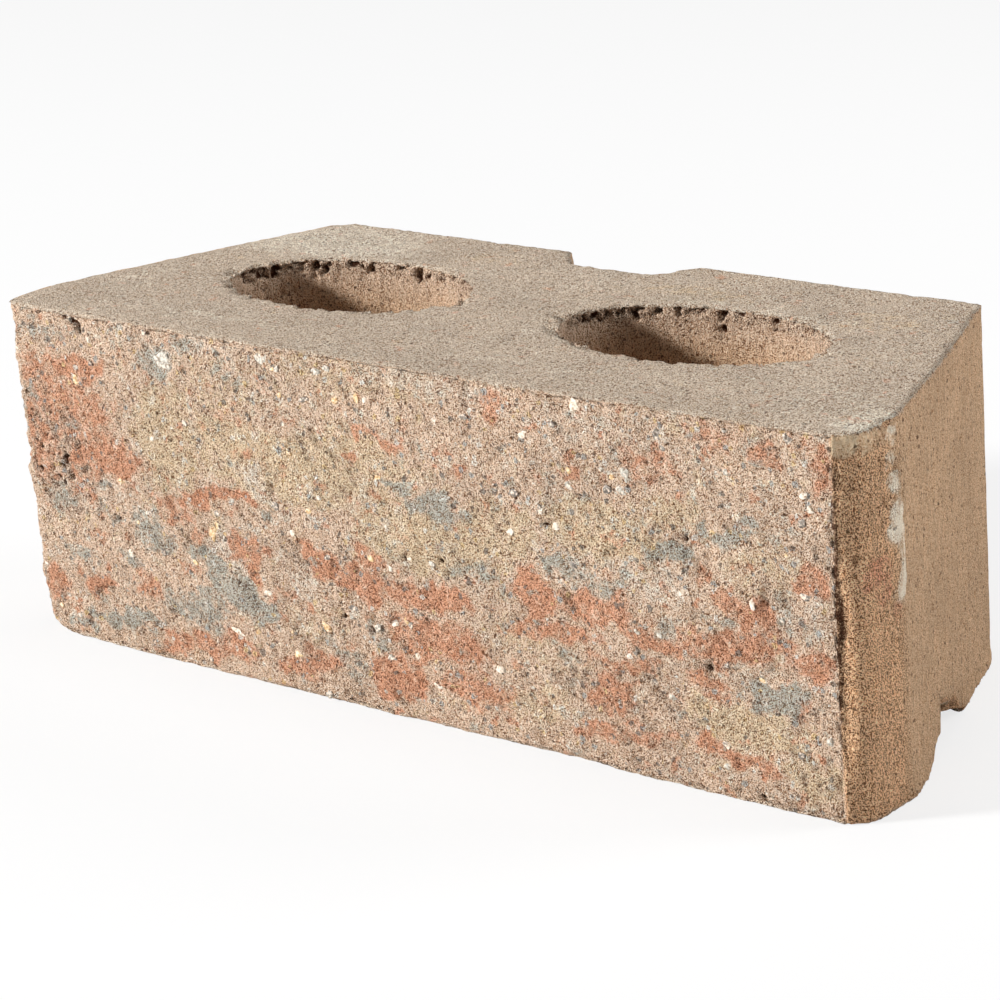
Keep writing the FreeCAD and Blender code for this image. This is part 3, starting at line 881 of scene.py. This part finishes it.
def stone_shape(dice, width, thickness, height, turn):
    """The points of one crushed stone: a ball with flats broken off it, squeezed to its sizes."""
    points = ball_points.copy()
    sides = [np.array([0.0, -1.0, 0.0])] + list(dice.normal(size=(9, 3)) * [1, 0.5, 1])
    for side in sides:
        side /= np.linalg.norm(side)
        over = np.maximum(points @ side - dice.uniform(0.55, 0.85), 0)
        points -= over[:, None] * side
    points *= (width / 1.5, thickness / 1.5, height / 1.5)
    spin = np.array(Matrix.Rotation(turn, 3, "Y"))
    return points @ spin.T


ball = bmesh.new()
bmesh.ops.create_icosphere(ball, subdivisions=2, radius=1)
ball_points = np.array([vert.co for vert in ball.verts])
ball_faces = [[vert.index for vert in face.verts] for face in ball.faces]
ball.free()
dice = np.random.default_rng(STONE_SEED)
placed = list(STONES)
for _ in range(SMALL_STONES):
    size = dice.uniform(*SMALL_SIZES)
    kind = dice.choice([WHITE, GREY_STONE, DARK, OCHRE], p=[0.1, 0.35, 0.3, 0.25])
    sx, sz = [dice.uniform(*spread) for spread in SMALL_PLACES]
    placed.append((sx, sz, size * dice.uniform(0.8, 1.5), size, kind))
face_tree = bvhtree.BVHTree.FromObject(casting, bpy.context.evaluated_depsgraph_get())
stone_points, stone_faces, stone_kinds = [], [], []
for sx, sz, wide, tall, kind in placed:
    hit, normal, _, _ = face_tree.ray_cast(Vector((sx, -200, sz)) * MM, Vector((0, 1, 0)))
    if hit is None:
        continue
    thickness = 0.5 * min(wide, tall)
    points = stone_shape(dice, wide, thickness, tall, dice.uniform(-0.4, 0.4))
    middle = np.array(hit) / MM + np.array(normal) * (PROUD - thickness / 2)
    stone_faces += [[i + len(stone_points) for i in face] for face in ball_faces]
    stone_points += list(np.clip(points + middle, LOW_CORNER, HIGH_CORNER) * MM)
    stone_kinds += [kind] * len(ball_faces)
stones = bpy.data.meshes.new("exposed_stones")
stones.from_pydata(stone_points, [], stone_faces)
STONE_COLOURS = (
    ("white_quartz", screen_colour(224, 217, 206), screen_colour(196, 182, 164)),
    ("grey_stone", screen_colour(188, 186, 178), screen_colour(152, 150, 142)),
    ("dark_slate", screen_colour(140, 134, 126), screen_colour(96, 92, 88)),
    ("ochre_stone", screen_colour(216, 190, 146), screen_colour(190, 156, 112)),
)
for name, light_part, dark_part in STONE_COLOURS:
    made = bpy.data.materials.new(name)
    made.use_nodes = True
    tree = made.node_tree
    tree.nodes.clear()
    own = add(tree, "TexCoord").outputs["Object"]
    cloud = noisy(tree, own, STONE_CLOUD_SCALE, 4.0, 0.6)
    colour = mixed(tree, stretched(tree, cloud, 0.35, 0.65), light_part, dark_part)
    crumbs = noisy(tree, own, STONE_CRUMB_SCALE, 2.0, 0.6)
    colour = mixed(tree, stretched(tree, crumbs, 0.5, 0.62, 0.0, 0.8), colour, PINK_CREAM)
    # Painted shade and light of fine crumbs, the same as on the concrete.
    colour = mixed(tree, 1.0, colour, steps(tree, crumbs, CRUMBLE_TONES), "MULTIPLY")
    bump = add(tree, "Bump", {"Height": cloud, "Distance": 0.0006, "Strength": 1.0}).outputs[0]
    surface = add(tree, "BsdfPrincipled", {"Base Color": colour, "Normal": bump, "Roughness": 0.6})
    add(tree, "OutputMaterial", {"Surface": surface.outputs[0]})
    stones.materials.append(made)
stones.polygons.foreach_set("material_index", np.array(stone_kinds, np.int32))
exposed_stones = bpy.data.objects.new("exposed_stones", stones)
bpy.context.scene.collection.objects.link(exposed_stones)
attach(exposed_stones, "root")

# The floor. A plain pale sheet of studio card that the block stands on and casts its soft shadow
# on. It runs on past the view on every side.
FLOOR_SIZE = 14.0
card = bpy.data.meshes.new("floor")
half = FLOOR_SIZE / 2
corners = [(-half, -half, 0), (half, -half, 0), (half, half, 0), (-half, half, 0)]
card.from_pydata(corners, [], [(0, 1, 2, 3)])
floor = bpy.data.objects.new("floor", card)
bpy.context.scene.collection.objects.link(floor)
white_card = bpy.data.materials.new("white_card")
white_card.use_nodes = True
tree = white_card.node_tree
tree.nodes.clear()
rays = add(tree, "LightPath").outputs
bent = maths(tree, "MAXIMUM", rays["Is Glossy Ray"], rays["Is Transmission Ray"])
seen = maths(tree, "MAXIMUM", rays["Is Camera Ray"], bent)
matt = add(tree, "BsdfDiffuse", {"Color": (0.9, 0.9, 0.9, 1)}).outputs[0]
white = add(tree, "Emission", {"Color": (1, 1, 1, 1)}).outputs[0]
card_look = add(tree, "MixShader", {0: maths(tree, "MULTIPLY", seen, 0.75), 1: matt, 2: white}).outputs[0]
add(tree, "OutputMaterial", {"Surface": card_look})
card.materials.append(white_card)

# The light. One soft window low on the left and front, a weaker one on the right, a weak one
# overhead, and a dim even room around.
ROOM_LEVEL = 0.16
room = bpy.data.worlds.new("room")
bpy.context.scene.world = room
room.use_nodes = True
room.node_tree.nodes.clear()
seen = add(room.node_tree, "LightPath").outputs["Is Camera Ray"]
dim = add(room.node_tree, "Background", {"Color": (1, 1, 1, 1), "Strength": ROOM_LEVEL}).outputs[0]
bright = add(room.node_tree, "Background", {"Color": (1, 1, 1, 1), "Strength": 1.0}).outputs[0]
room_look = add(room.node_tree, "MixShader", {0: seen, 1: dim, 2: bright}).outputs[0]
add(room.node_tree, "OutputWorld", {"Surface": room_look})


def soft_window(name, place, size, watts):
    """A round soft light that faces the block."""
    lamp = bpy.data.lights.new(name, "AREA")
    lamp.shape = "DISK"
    lamp.size = size
    lamp.energy = watts
    window = bpy.data.objects.new(name, lamp)
    window.location = place
    window.rotation_euler = Vector(place).to_track_quat("Z", "Y").to_euler()
    bpy.context.scene.collection.objects.link(window)


soft_window("key_window", (-3.3, -3.3, 1.9), 0.8, 371)
soft_window("side_window", (1.6, 1.3, 1.35), 1.0, 25.5)
soft_window("top_window", (0.0, 0.2, 2.6), 1.0, 12)

# The camera, at the photograph's viewing angle: in front of the block, to its right and a little
# above it.
CAMERA_PLACE = (0.8628, -1.03144, 0.52105)
CAMERA_AZIMUTH = 40.29
CAMERA_ELEVATION = 18.54
CAMERA_ROLL = 4.36
LENS_PIXELS = 3373.83
FRAME_PIXELS = 1000
SENSOR = 36.0
azimuth, elevation, roll = [math.radians(a) for a in (CAMERA_AZIMUTH, CAMERA_ELEVATION, CAMERA_ROLL)]
level = math.cos(elevation)
back = Vector((math.sin(azimuth) * level, -math.cos(azimuth) * level, math.sin(elevation)))
right = back.cross(Vector((0, 0, -1))).normalized()
down = (-back).cross(right)
rolled_right = math.cos(roll) * right + math.sin(roll) * down
rolled_down = -math.sin(roll) * right + math.cos(roll) * down
lens = bpy.data.cameras.new("camera")
lens.sensor_width = SENSOR
lens.sensor_fit = "HORIZONTAL"
lens.lens = LENS_PIXELS / FRAME_PIXELS * SENSOR
camera = bpy.data.objects.new("camera", lens)
axes = Matrix((rolled_right, -rolled_down, back)).transposed()
camera.matrix_world = Matrix.Translation(CAMERA_PLACE) @ axes.to_4x4()
bpy.context.scene.collection.objects.link(camera)
bpy.context.scene.camera = camera
bpy.context.scene.view_settings.view_transform = "Standard"
